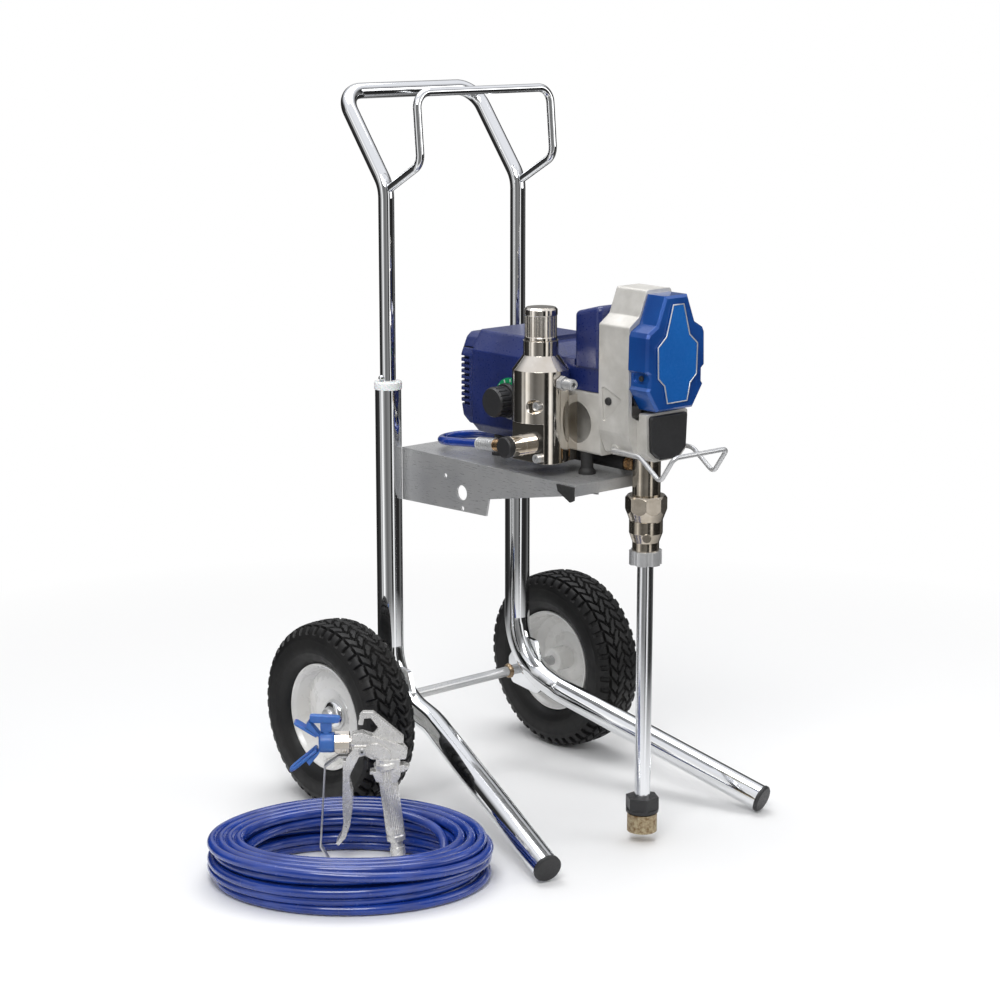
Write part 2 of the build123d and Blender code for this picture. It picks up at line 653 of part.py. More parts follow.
# ---------------------------------------------------------------- hose coil
long_dir = Vector(1, 0, 0).rotate(Axis.Z, coil_heading)
coil_plane = Plane(origin=(*coil_centre, 0), x_dir=long_dir, z_dir=Z)
with BuildPart() as hose_coil:
    with BuildSketch(coil_plane):
        Ellipse(coil_half_long, coil_half_short)
        Ellipse(coil_half_long - coil_band, coil_half_short - coil_band, mode=Mode.SUBTRACT)
    extrude(amount=coil_height)
    chamfer(hose_coil.edges().group_by(Axis.Z)[-1], 12)
    chamfer(hose_coil.edges().group_by(Axis.Z)[0], 3)
nodes["hose_coil"] = hose_coil.part

coupling_rings = [(6.9, 0), (6.9, 22), (8.2, 23), (8.2, 40), (6.6, 41), (6.6, 46)]
coupling_spots = [(-30.0, coil_half_short + 12.0, 176.0), (22.0, -60.0, 174.0)]
with BuildPart() as hose_couplings:
    for along, across, turn in coupling_spots:
        foot = coil_plane.from_local_coords(Vector(along, across, 8.3))
        heading = long_dir.rotate(Axis.Z, turn)
        add(lathe(foot, heading, coupling_rings))
        add(prism(foot, heading, 6, 9.4, 24, 38))
nodes["hose_couplings"] = hose_couplings.part

# ---------------------------------------------------------------- spray gun, in its own frame
# local axes: +X towards the spray tip, +Z up, feet on Z = 0
gun_nodes = {}
barrel_z = 158.0
side_view = Plane(origin=(0, 0, 0), x_dir=X, z_dir=(0, -1, 0))
with BuildPart() as gun_body:
    body_outline = [
        (5, 146), (5, 170), (-8, 172), (-20, 168), (-58, 156), (-64, 148), (-62, 138), (-20, 138), (-6, 146),
    ]
    add(slab(side_view.offset(-8), body_outline, 16, 2))
    add(drum((0, 0, barrel_z), X, 8.5, -16, 6))
    hook_outline = [
        (-3, 182), (-5, 194), (-9, 198), (-22, 198), (-59, 166), (-59, 158), (-18, 158),
        (-20, 167), (-28.7, 177.5), (-19, 190.5), (-10.5, 190), (-9, 181.5),
    ]
    add(slab(side_view.offset(-5), hook_outline, 10, 1))
    add(drum((0, 0, barrel_z), X, 6, 5, 14))
    add(drum((-8, 0, 149.5), Y, 2.06, -20, 20), mode=Mode.SUBTRACT)
gun_nodes["gun_body"] = gun_body.part

with BuildPart() as gun_handle:
    handle_down = Vector(-0.12, 0, -1).normalized()
    handle_profile = [(12, -4), (12, 5), (15, 6), (15, 12), (11, 15), (11, 100), (12, 102), (12, 108)]
    add(lathe((-36, 0, 137.7), handle_down, handle_profile))
    add(block((-40, -7, 118), (-17, 7, 122)))
    housing_outline = [(-25, 140), (-25, 122), (-20, 122), (-25, 109), (-50, 107), (-55, 116), (-54, 140)]
    add(slab(side_view.offset(-10), housing_outline, 20, 1.5))
    tang_outline = [(-46, 119), (-46, 128), (-60, 130.5), (-67, 127), (-59, 121.5)]
    add(slab(side_view.offset(-8), tang_outline, 16, 1.5))
    add(block((-80, -30, 138), (10, 30, 170)), mode=Mode.SUBTRACT)
    swivel_foot = Vector(-36, 0, 137.7) + handle_down * 108
    add(lathe(swivel_foot, handle_down, [(8, -1), (8, 8), (9.5, 9), (9.5, 26)]))
gun_nodes["gun_handle"] = gun_handle.part

with BuildPart() as gun_trigger:
    cheek_outline = [(8, 118), (12, 118), (12, 140), (2, 154), (-14, 154), (-14, 145), (-4, 142)]
    blade_outline = [
        (8, 137), (8, 106), (5, 94), (5, 74), (8, 54), (14, 36), (23, 26), (26, 29), (19, 40), (16.5, 56),
        (17.5, 80), (16.5, 112), (16, 137),
    ]
    for low_y in (-11.6, 8.6):
        add(slab(side_view.offset(-low_y - 3), cheek_outline, 3, 1))
    add(slab(side_view.offset(-11.6), blade_outline, 23.2))
    add(drum((-8, 0, 149.5), Y, 2, -12.6, 12.6))
gun_nodes["gun_trigger"] = gun_trigger.part

with BuildPart() as trigger_lock:
    add(block((-14, -4, 123), (-9, 4, 137.5)))
    add(drum((-11.5, 0, 135), Y, 1.6, -6, 6))
gun_nodes["trigger_lock"] = trigger_lock.part

with BuildPart() as gun_guard:
    guard_path = [(10.5, 141), (22, 141), (40, 128), (47, 22), (36, 1.6), (-40, 1.6)]
    inner = [(10.5, 139), (21.2, 139), (38, 126.8), (45, 22.6), (34.8, 3.6), (-40, 3.6)]
    add(slab(side_view.offset(-6), guard_path + list(reversed(inner)), 12))
gun_nodes["gun_guard"] = gun_guard.part

with BuildPart() as retaining_nut:
    add(prism((0, 0, barrel_z), X, 10, 14.5, 8, 26, bore=6))
gun_nodes["retaining_nut"] = retaining_nut.part

with BuildPart() as tip_guard:
    add(lathe((0, 0, barrel_z), X, [(12, 26.3), (13, 30), (13, 44), (10, 46)], bore=6.5))
    for direction in (-1, 1):
        wing = [
            (43, barrel_z + direction * 7), (62, barrel_z + direction * 22),
            (58, barrel_z + direction * 28), (46, barrel_z + direction * 13),
        ]
        add(slab(side_view.offset(-9), wing, 18))
    add(drum((37, 0, barrel_z), Z, 5.1, -14, 30), mode=Mode.SUBTRACT)
gun_nodes["tip_guard"] = tip_guard.part

with BuildPart() as spray_tip:
    add(drum((37, 0, barrel_z), Z, 5.0, -12, 14.2))
    add(block((30, -3, barrel_z + 14.2), (44, 3, barrel_z + 27)))
    add(drum((37, 0, barrel_z), X, 1.2, -6, 6), mode=Mode.SUBTRACT)
gun_nodes["spray_tip"] = spray_tip.part

gun_place = Location((*gun_foot, 0), (0, 0, gun_heading))
for name, solid in gun_nodes.items():
    nodes[name] = solid.moved(gun_place)

# ---------------------------------------------------------------- common origin and export
hose_nodes = ("hose_coil", "hose_couplings")
boxes = [solid.bounding_box() for name, solid in nodes.items() if name not in hose_nodes]
low_x = min(box.min.X for box in boxes)
high_x = max(box.max.X for box in boxes)
low_y = min(box.min.Y for box in boxes)
high_y = max(box.max.Y for box in boxes)
footprint = Location((-(low_x + high_x) / 2, -(low_y + high_y) / 2, 0))
for name, solid in nodes.items():
    placed = solid.moved(footprint)
    placed.label = name
    export_step(placed, "parts/" + name + ".step")
print("nodes", len(nodes), "origin at", round((low_x + high_x) / 2, 3), round((low_y + high_y) / 2, 3))
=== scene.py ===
"""Looks of the airless paint sprayer on its high cart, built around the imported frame.

Metres, +Z up. Measures of pieces are written in millimetres about the cart's own centre
(the middle plane and the uprights), and place() turns them into the frame's metres.
"""
import json
import math

import bmesh
import bpy
import numpy as np
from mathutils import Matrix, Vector


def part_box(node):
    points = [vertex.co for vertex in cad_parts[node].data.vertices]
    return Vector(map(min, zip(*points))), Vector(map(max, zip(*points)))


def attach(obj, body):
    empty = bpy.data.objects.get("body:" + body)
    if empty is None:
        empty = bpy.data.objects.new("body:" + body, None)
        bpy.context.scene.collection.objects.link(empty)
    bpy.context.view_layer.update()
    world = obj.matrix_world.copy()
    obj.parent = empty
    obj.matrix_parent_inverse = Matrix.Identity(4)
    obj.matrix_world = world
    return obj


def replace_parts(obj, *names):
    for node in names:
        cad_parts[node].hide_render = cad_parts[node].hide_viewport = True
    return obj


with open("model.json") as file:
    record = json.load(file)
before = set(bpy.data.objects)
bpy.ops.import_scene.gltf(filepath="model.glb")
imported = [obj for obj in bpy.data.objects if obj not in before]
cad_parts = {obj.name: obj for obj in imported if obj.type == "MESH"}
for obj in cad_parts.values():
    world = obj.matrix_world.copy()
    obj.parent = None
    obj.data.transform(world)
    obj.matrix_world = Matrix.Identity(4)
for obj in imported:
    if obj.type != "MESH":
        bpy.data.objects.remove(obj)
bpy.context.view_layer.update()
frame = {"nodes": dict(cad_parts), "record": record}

scene = bpy.context.scene
nodes = frame["nodes"]

MM = 0.001
axle_low, axle_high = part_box("axle_bar")
AXLE_SETBACK = -2.0
CART = Vector(((axle_low.x + axle_high.x) / 2, (axle_low.y + axle_high.y) / 2 - AXLE_SETBACK * MM, 0))


def place(x, y, z):
    """A point of the cart, in millimetres about its own centre, as metres in the frame."""
    return CART + Vector((x, y, z)) * MM


# ---------------------------------------------------------------- camera
CAMERA_AT = (-2071.3, -2440.5, 1085.2)
CAMERA_HEADING = math.radians(41.43)
CAMERA_DROP = math.radians(12.28)
LENS = 86.09

camera = bpy.data.objects.new("camera", bpy.data.cameras.new("camera"))
scene.collection.objects.link(camera)
camera.location = place(*CAMERA_AT)
sight = Vector((
    math.sin(CAMERA_HEADING) * math.cos(CAMERA_DROP),
    math.cos(CAMERA_HEADING) * math.cos(CAMERA_DROP),
    -math.sin(CAMERA_DROP),
))
camera.rotation_euler = sight.to_track_quat("-Z", "Y").to_euler()
camera.data.lens = LENS
camera.data.sensor_width = 36
scene.camera = camera


# ---------------------------------------------------------------- the coiled hose
HOSE_DIAMETER = 0.0125
COIL_CENTRE = (-363.0, -222.0)
COIL_HEADING = math.radians(138.6 - 180)
COIL_LONG, COIL_SHORT = 181.0, 140.0
COIL_BAND = 57.0
LAYERS = 5
TURNS_PER_LAYER = 3.6212
LAYER_RISE = 11.0
POINTS_PER_TURN = 20
HOSE_R = HOSE_DIAMETER / 2 / MM
START_ANGLE = math.radians(100)
LEAD_TURNS = 0.20
LEAD_SHIFT = 13.0
COUPLING_Z = 8.3


def smooth(value):
    """0 to 1 with soft ends."""
    value = min(max(value, 0.0), 1.0)
    return value * value * (3 - 2 * value)


def coil_point(along, across, height):
    """A point in the coil's own axes, in millimetres, as metres in the frame."""
    c, s = math.cos(COIL_HEADING), math.sin(COIL_HEADING)
    return place(
        COIL_CENTRE[0] + along * c - across * s, COIL_CENTRE[1] + along * s + across * c, height
    )


def coil_route():
    """Turns of the hose, each layer winding in or out on the last, and the angle they end at."""
    total = LAYERS * TURNS_PER_LAYER
    count = int(total * POINTS_PER_TURN)
    sweep = COIL_BAND - 2 * HOSE_R
    points = [coil_point(-30, COIL_SHORT + 12, COUPLING_Z), coil_point(-4, COIL_SHORT + 9.5, 8.0)]
    for step in range(2, count + 1):
        turn = step / POINTS_PER_TURN
        angle = START_ANGLE - 2 * math.pi * turn
        layer = min(int(turn / TURNS_PER_LAYER), LAYERS - 1)
        share = turn / TURNS_PER_LAYER - layer
        inward = share if layer % 2 == 0 else 1 - share
        inset = HOSE_R + sweep * inward - LEAD_SHIFT * (1 - smooth(turn / LEAD_TURNS))
        climb = smooth((turn / TURNS_PER_LAYER - round(turn / TURNS_PER_LAYER)) / 0.09 + 0.5)
        level = round(turn / TURNS_PER_LAYER) - 1 + climb
        level = min(max(level, 0.0), LAYERS - 1.0)
        height = HOSE_R + LAYER_RISE * level
        height += 0.9 * level * (1 + math.sin(2 * angle + 1.3 * level)) / 2
        drift = 2.4 * math.sin(0.5 + 1.9 * turn / TURNS_PER_LAYER)
        wave = 1.3 * math.sin(3 * angle + 0.8 * level) * (0.4 + 0.2 * level)
        along = (COIL_LONG - inset + wave) * math.cos(angle) + drift
        across = (COIL_SHORT - inset + wave) * math.sin(angle)
        points.append(coil_point(along, across, height))
    return points, START_ANGLE - 2 * math.pi * total


def hose_points():
    """The whole line of the hose, from the outer coupling to the inner one."""
    points, end_angle = coil_route()
    # the last stretch leans on the inner wall, runs down to the floor and ends in its coupling
    tail = [
        (0.04, 1.0, 50), (0.09, 4.0, 46), (0.14, 8.5, 38), (0.19, 13.0, 27), (0.24, 17.0, 16.5),
        (0.29, 20.5, 10.5), (0.34, 23.5, 8.5),
    ]
    for turn, inset, height in tail:
        angle = end_angle - 2 * math.pi * turn
        edge = COIL_BAND - HOSE_R + inset
        points.append(coil_point(
            (COIL_LONG - edge) * math.cos(angle), (COIL_SHORT - edge) * math.sin(angle), height
        ))
    points += [coil_point(37.5, -60.9, COUPLING_Z), coil_point(22, -60, COUPLING_Z)]
    return points


def nurbs_tube(name, points, radius):
    """Round tube whose line is one open spline with these control points."""
    data = bpy.data.curves.new(name, "CURVE")
    data.dimensions = "3D"
    spline = data.splines.new("NURBS")
    spline.points.add(len(points) - 1)
    for knot, point in zip(spline.points, points):
        knot.co = (*point, 1)
        knot.radius = radius
    spline.order_u = 3
    spline.use_endpoint_u = True
    data.resolution_u = 6
    data.bevel_depth = 1.0
    data.bevel_resolution = 5
    data.use_fill_caps = True
    piece = bpy.data.objects.new(name, data)
    scene.collection.objects.link(piece)
    return piece


route = hose_points()
hose = nurbs_tube("hose", route, HOSE_DIAMETER / 2)
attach(hose, "cart")
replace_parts(hose, "hose_coil")


# ---------------------------------------------------------------- studio
WHITE = (1.0, 1.0, 1.0, 1.0)
scene.view_settings.view_transform = "Standard"

# how bright the studio is round the horizon, as a share of a full turn from due west
HORIZON = [
    (0.00, 0.85), (0.025, 0.30), (0.07, 0.16), (0.13, 0.24), (0.165, 0.30), (0.185, 0.02), (0.215, 0.02),
    (0.235, 1.30), (0.255, 0.90), (0.275, 0.03), (0.40, 0.02), (0.47, 0.18), (0.50, 0.02), (0.60, 0.03),
    (0.66, 0.45), (0.70, 0.03), (0.80, 0.02), (0.90, 0.05), (0.925, 0.70), (0.95, 0.35), (0.975, 1.35),
    (1.00, 0.85),
]


def around_horizon(tree, direction):
    """Brightness of the studio in a direction: bright and dark stretches side by side."""
    parts = tree.nodes.new("ShaderNodeSeparateXYZ")
    tree.links.new(direction, parts.inputs[0])
    around = tree.nodes.new("ShaderNodeMath")
    around.operation = "ARCTAN2"
    tree.links.new(parts.outputs["Y"], around.inputs[0])
    tree.links.new(parts.outputs["X"], around.inputs[1])
    share = tree.nodes.new("ShaderNodeMapRange")
    share.inputs["From Min"].default_value = -math.pi
    share.inputs["From Max"].default_value = math.pi
    tree.links.new(around.outputs[0], share.inputs["Value"])
    bands = tree.nodes.new("ShaderNodeValToRGB")
    ramp = bands.color_ramp
    ramp.interpolation = "EASE"
    while len(ramp.elements) < len(HORIZON):
        ramp.elements.new(0.5)
    for element, (position, level) in zip(ramp.elements, HORIZON):
        element.position = position
        element.color = (level, level, level, 1)
    tree.links.new(share.outputs["Result"], bands.inputs["Fac"])
    return bands.outputs["Color"], parts.outputs["Z"]


def studio_world():
    """White to the camera, even light on surfaces, and bands of light and dark in reflections."""
    world = bpy.data.worlds.new("studio")
    scene.world = world
    world.use_nodes = True
    tree = world.node_tree
    tree.nodes.clear()
    new, link = tree.nodes.new, tree.links.new
    coords = new("ShaderNodeTexCoord")
    bands, height = around_horizon(tree, coords.outputs["Generated"])
    lift = new("ShaderNodeMapRange")
    lift.inputs["From Min"].default_value = 0.35
    lift.inputs["From Max"].default_value = 0.70
    link(height, lift.inputs["Value"])
    roof = new("ShaderNodeMix")
    roof.data_type = "RGBA"
    roof.inputs["B"].default_value = (0.95, 0.96, 1.0, 1)
    link(lift.outputs["Result"], roof.inputs["Factor"])
    link(bands, roof.inputs["A"])
    mirrored = new("ShaderNodeBackground")
    link(roof.outputs["Result"], mirrored.inputs["Color"])
    even = new("ShaderNodeBackground")
    even.inputs["Color"].default_value = (0.97, 0.98, 1.0, 1)
    even.inputs["Strength"].default_value = 0.42
    backdrop = new("ShaderNodeBackground")
    backdrop.inputs["Color"].default_value = WHITE
    paths = new("ShaderNodeLightPath")
    lit = new("ShaderNodeMixShader")
    link(paths.outputs["Is Diffuse Ray"], lit.inputs["Fac"])
    link(mirrored.outputs[0], lit.inputs[1])
    link(even.outputs[0], lit.inputs[2])
    choose = new("ShaderNodeMixShader")
    link(paths.outputs["Is Camera Ray"], choose.inputs["Fac"])
    link(lit.outputs[0], choose.inputs[1])
    link(backdrop.outputs[0], choose.inputs[2])
    link(choose.outputs[0], new("ShaderNodeOutputWorld").inputs["Surface"])


def soft_light(name, at, aim, width, watts):
    """Rectangular area light at a place of the cart, aimed at another."""
    data = bpy.data.lights.new(name, "AREA")
    data.shape = "RECTANGLE"
    data.size = width
    data.size_y = width * 0.7
    data.energy = watts
    light = bpy.data.objects.new(name, data)
    light.location = place(*at)
    light.rotation_euler = (place(*aim) - light.location).to_track_quat("-Z", "Y").to_euler()
    scene.collection.objects.link(light)


studio_world()
soft_light("key", (-1700, -1500, 2300), (0, -150, 350), 1.4, 38)
soft_light("fill", (1500, -2200, 1300), (0, -200, 400), 1.6, 14)
soft_light("top", (100, 200, 2700), (0, -150, 0), 2.2, 40)

floor_data = bpy.data.meshes.new("floor")
FLOOR_HALF = 9.0
floor_data.from_pydata(
    [(-FLOOR_HALF, -FLOOR_HALF, 0), (FLOOR_HALF, -FLOOR_HALF, 0),
     (FLOOR_HALF, FLOOR_HALF, 0), (-FLOOR_HALF, FLOOR_HALF, 0)], [], [(0, 1, 2, 3)]
)
floor = bpy.data.objects.new("floor", floor_data)
floor.location.z = -0.0004
scene.collection.objects.link(floor)


# ---------------------------------------------------------------- materials
class Finish:
    """One procedural material, built from noise, ramps and bumps in object coordinates."""

    def __init__(self, name, colour, metallic=0.0, roughness=0.5):
        self.material = bpy.data.materials.new(name)
        self.material.use_nodes = True
        self.tree = self.material.node_tree
        self.shader = self.tree.nodes["Principled BSDF"]
        self.shader.inputs["Base Color"].default_value = (*colour, 1)
        self.shader.inputs["Metallic"].default_value = metallic
        self.shader.inputs["Roughness"].default_value = roughness
        self.coords = self.tree.nodes.new("ShaderNodeTexCoord").outputs["Object"]
        self.normal = None

    def link(self, output, target):
        self.tree.links.new(output, target)

    def noise(self, scale, stretch=(1, 1, 1), detail=3.0):
        """Noise between 0 and 1, with features about 1/scale metres across."""
        mapping = self.tree.nodes.new("ShaderNodeMapping")
        mapping.inputs["Scale"].default_value = stretch
        self.link(self.coords, mapping.inputs["Vector"])
        texture = self.tree.nodes.new("ShaderNodeTexNoise")
        texture.inputs["Scale"].default_value = scale
        texture.inputs["Detail"].default_value = detail
        self.link(mapping.outputs[0], texture.inputs["Vector"])
        return texture.outputs["Fac"]

    def grains(self, scale):
        """Distance to the nearest of many scattered points."""
        texture = self.tree.nodes.new("ShaderNodeTexVoronoi")
        texture.inputs["Scale"].default_value = scale
        self.link(self.coords, texture.inputs["Vector"])
        return texture.outputs["Distance"]

    def spread(self, value, low, high, start=0.3, end=0.7):
        node = self.tree.nodes.new("ShaderNodeMapRange")
        node.inputs["From Min"].default_value = start
        node.inputs["From Max"].default_value = end
        node.inputs["To Min"].default_value = low
        node.inputs["To Max"].default_value = high
        self.link(value, node.inputs["Value"])
        return node.outputs["Result"]

    def rough(self, value, low, high):
        self.link(self.spread(value, low, high), self.shader.inputs["Roughness"])

    def tint(self, value, first, second):
        """Colour that wanders between two tones."""
        node = self.tree.nodes.new("ShaderNodeMix")
        node.data_type = "RGBA"
        node.inputs["A"].default_value = (*first, 1)
        node.inputs["B"].default_value = (*second, 1)
        self.link(self.spread(value, 0, 1), node.inputs["Factor"])
        self.link(node.outputs["Result"], self.shader.inputs["Base Color"])
        return node

    def soften(self, radius):
        """Rounds the edges in the shading."""
        node = self.tree.nodes.new("ShaderNodeBevel")
        node.samples = 6
        node.inputs["Radius"].default_value = radius
        self.normal = node.outputs["Normal"]
        self.link(self.normal, self.shader.inputs["Normal"])

    def bump(self, value, distance, strength=0.6):
        node = self.tree.nodes.new("ShaderNodeBump")
        node.inputs["Distance"].default_value = distance
        node.inputs["Strength"].default_value = strength
        self.link(value, node.inputs["Height"])
        if self.normal:
            self.link(self.normal, node.inputs["Normal"])
        self.normal = node.outputs["Normal"]
        self.link(self.normal, self.shader.inputs["Normal"])

    def coat(self, weight, roughness=0.08):
        self.shader.inputs["Coat Weight"].default_value = weight
        self.shader.inputs["Coat Roughness"].default_value = roughness


def frame_chrome():
    finish = Finish("chrome", (0.80, 0.81, 0.82), 1.0)
    finish.rough(finish.noise(60), 0.035, 0.08)
    finish.bump(finish.noise(35, (1, 1, 0.15)), 0.0002, 0.15)
    return finish.material


def zinc_steel():
    finish = Finish("zinc", (0.58, 0.58, 0.58), 0.62)
    streaks = finish.noise(1400, (1, 0.05, 1))
    finish.tint(finish.noise(14), (0.47, 0.475, 0.485), (0.60, 0.60, 0.595))
    finish.rough(streaks, 0.26, 0.36)
    finish.soften(0.0006)
    finish.bump(streaks, 0.00004, 0.10)
    return finish.material


def nickel():
    finish = Finish("nickel", (0.72, 0.67, 0.60), 1.0)
    finish.tint(finish.noise(30), (0.66, 0.60, 0.52), (0.78, 0.74, 0.68))
    finish.rough(finish.noise(120), 0.05, 0.12)
    finish.soften(0.0008)
    finish.bump(finish.noise(260), 0.0001, 0.2)
    return finish.material


def pump_nickel():
    finish = Finish("nickel_satin", (0.50, 0.44, 0.37), 1.0)
    finish.tint(finish.noise(45), (0.42, 0.37, 0.30), (0.60, 0.54, 0.46))
    finish.rough(finish.noise(200, (1, 1, 6)), 0.12, 0.24)
    finish.soften(0.0009)
    finish.bump(finish.noise(500), 0.0001, 0.3)
    return finish.material


def cast_alloy():
    finish = Finish("cast_alloy", (0.60, 0.58, 0.54), 0.45)
    finish.tint(finish.noise(40), (0.52, 0.505, 0.47), (0.66, 0.645, 0.61))
    finish.rough(finish.noise(300), 0.38, 0.55)
    finish.soften(0.0012)
    finish.bump(finish.noise(1500, detail=6), 0.0004, 0.35)
    return finish.material


def gun_alloy():
    finish = Finish("gun_alloy", (0.72, 0.71, 0.69), 0.58)
    finish.tint(finish.noise(35), (0.62, 0.61, 0.59), (0.80, 0.79, 0.77))
    finish.rough(finish.noise(160), 0.22, 0.32)
    finish.soften(0.0010)
    finish.bump(finish.noise(240), 0.0001, 0.12)
    return finish.material


def bright_tube():
    finish = Finish("bright_tube", (0.80, 0.81, 0.83), 1.0)
    finish.rough(finish.noise(400, (1, 1, 0.03)), 0.12, 0.22)
    finish.bump(finish.noise(900, (1, 1, 0.02)), 0.0001, 0.15)
    return finish.material


def brass():
    finish = Finish("brass", (0.66, 0.42, 0.22), 1.0)
    finish.tint(finish.noise(90), (0.50, 0.30, 0.15), (0.74, 0.50, 0.28))
    finish.rough(finish.noise(200), 0.18, 0.34)
    finish.soften(0.0006)
    return finish.material


def steel_inner():
    finish = Finish("bare_steel", (0.42, 0.42, 0.43), 1.0)
    finish.rough(finish.noise(300), 0.30, 0.50)
    finish.bump(finish.noise(600), 0.0001, 0.3)
    return finish.material


def navy_plastic():
    finish = Finish("navy_plastic", (0.012, 0.022, 0.11))
    finish.tint(finish.noise(25), (0.007, 0.015, 0.092), (0.010, 0.021, 0.120))
    finish.rough(finish.noise(350), 0.26, 0.36)
    finish.soften(0.0015)
    finish.bump(finish.grains(2400), 0.00015, 0.30)
    finish.coat(0.25, 0.2)
    return finish.material


def cover_blue():
    finish = Finish("cover_blue", (0.008, 0.085, 0.36), 0.35)
    finish.tint(finish.noise(12), (0.004, 0.040, 0.22), (0.006, 0.085, 0.36))
    finish.rough(finish.noise(2800), 0.25, 0.28)
    finish.soften(0.0014)
    finish.coat(0.7, 0.06)
    return finish.material


def label_blue():
    finish = Finish("label_blue", (0.004, 0.11, 0.42), 0.2)
    finish.tint(finish.noise(9), (0.003, 0.095, 0.38), (0.005, 0.14, 0.50))
    finish.rough(finish.noise(2800), 0.26, 0.29)
    finish.coat(0.5, 0.1)
    return finish.material


def black_plastic():
    finish = Finish("black_plastic", (0.016, 0.016, 0.017))
    finish.rough(finish.noise(300), 0.38, 0.55)
    finish.soften(0.0008)
    finish.bump(finish.grains(2600), 0.00015, 0.3)
    return finish.material


def black_rubber():
    finish = Finish("black_rubber", (0.018, 0.018, 0.018))
    finish.rough(finish.noise(200), 0.5, 0.7)
    finish.bump(finish.noise(900), 0.0001, 0.3)
    return finish.material


def white_plastic():
    finish = Finish("white_plastic", (0.84, 0.84, 0.83))
    finish.rough(finish.noise(300), 0.3, 0.42)
    finish.soften(0.0008)
    finish.shader.inputs["Subsurface Weight"].default_value = 0.1
    return finish.material


def tyre_rubber():
    finish = Finish("tyre_rubber", (0.012, 0.012, 0.0125))
    finish.tint(finish.noise(18), (0.005, 0.005, 0.0055), (0.012, 0.0115, 0.011))
    finish.rough(finish.noise(90), 0.42, 0.58)
    finish.shader.inputs["Specular IOR Level"].default_value = 0.32
    finish.bump(finish.noise(1400, detail=5), 0.0003, 0.35)
    return finish.material


def rim_paint():
    finish = Finish("rim_paint", (0.78, 0.775, 0.755))
    finish.tint(finish.noise(14), (0.70, 0.69, 0.66), (0.82, 0.815, 0.80))
    finish.rough(finish.noise(60), 0.22, 0.36)
    finish.soften(0.0012)
    finish.bump(finish.noise(120), 0.0002, 0.12)
    finish.coat(0.4, 0.12)
    return finish.material


def hose_blue():
    finish = Finish("hose_blue", (0.006, 0.034, 0.25))
    finish.tint(finish.noise(30), (0.005, 0.026, 0.20), (0.008, 0.044, 0.30))
    finish.rough(finish.noise(160), 0.16, 0.28)
    finish.bump(finish.noise(220), 0.0002, 0.12)
    finish.coat(0.6, 0.1)
    return finish.material


def tip_blue():
    finish = Finish("tip_blue", (0.035, 0.13, 0.42))
    finish.tint(finish.noise(70), (0.030, 0.11, 0.37), (0.045, 0.16, 0.48))
    finish.rough(finish.noise(400), 0.30, 0.42)
    finish.soften(0.0008)
    finish.shader.inputs["Subsurface Weight"].default_value = 0.08
    return finish.material


def floor_white():
    """Pale floor with the soft shadows near the object, fading out to a plain white."""
    finish = Finish("floor_white", (0.90, 0.90, 0.90), 0.0, 0.7)
    tree, link = finish.tree, finish.link
    reach = tree.nodes.new("ShaderNodeVectorMath")
    reach.operation = "LENGTH"
    link(finish.coords, reach.inputs[0])
    fade = finish.spread(reach.outputs["Value"], 0, 1, 0.55, 1.5)
    paths = tree.nodes.new("ShaderNodeLightPath")
    seen = tree.nodes.new("ShaderNodeMath")
    seen.operation = "MULTIPLY"
    link(fade, seen.inputs[0])
    link(paths.outputs["Is Camera Ray"], seen.inputs[1])
    glow = tree.nodes.new("ShaderNodeEmission")
    glow.inputs["Color"].default_value = WHITE
    far = finish.spread(reach.outputs["Value"], 0, 1, 0.45, 0.95)
    reflected = tree.nodes.new("ShaderNodeMath")
    reflected.operation = "MULTIPLY"
    link(far, reflected.inputs[0])
    link(paths.outputs["Is Glossy Ray"], reflected.inputs[1])
    banded = tree.nodes.new("ShaderNodeEmission")
    bands, _ = around_horizon(tree, finish.coords)
    link(bands, banded.inputs["Color"])
    mirrored = tree.nodes.new("ShaderNodeMixShader")
    link(reflected.outputs[0], mirrored.inputs["Fac"])
    link(finish.shader.outputs[0], mirrored.inputs[1])
    link(banded.outputs[0], mirrored.inputs[2])
    blend = tree.nodes.new("ShaderNodeMixShader")
    link(seen.outputs[0], blend.inputs["Fac"])
    link(mirrored.outputs[0], blend.inputs[1])
    link(glow.outputs[0], blend.inputs[2])
    link(blend.outputs[0], tree.nodes["Material Output"].inputs["Surface"])
    return finish.material


def dial_green():
    finish = Finish("dial_green", (0.0, 0.26, 0.09))
    finish.rough(finish.noise(300), 0.3, 0.45)
    return finish.material


def weld_tint():
    finish = Finish("weld", (0.30, 0.22, 0.14), 1.0)
    finish.tint(finish.noise(160), (0.16, 0.10, 0.055), (0.46, 0.36, 0.24))
    finish.rough(finish.noise(300), 0.25, 0.5)
    finish.bump(finish.noise(420), 0.0006, 0.6)
    return finish.material


def strainer_brass():
    finish = Finish("strainer_brass", (0.36, 0.27, 0.14), 1.0)
    finish.tint(finish.noise(220), (0.20, 0.12, 0.06), (0.52, 0.45, 0.30))
    finish.rough(finish.noise(500), 0.35, 0.6)
    return finish.material


finishes = {
    "frame_chrome": frame_chrome(), "black_plastic": black_plastic(), "white_plastic": white_plastic(),
    "zinc_steel": zinc_steel(), "tyre_rubber": tyre_rubber(), "rim_paint": rim_paint(),
    "navy_plastic": navy_plastic(), "cover_blue": cover_blue(), "label_blue": label_blue(),
    "cast_alloy": cast_alloy(), "nickel": nickel(), "steel_inner": steel_inner(),
    "alloy_tube": bright_tube(), "black_rubber": black_rubber(), "hose_blue": hose_blue(),
    "gun_metal": gun_alloy(), "tip_blue": tip_blue(), "brass": brass(),
}
pump_finish = pump_nickel()
green_finish = dial_green()
weld_finish = weld_tint()
mesh_finish = strainer_brass()
floor_data.materials.append(floor_white())


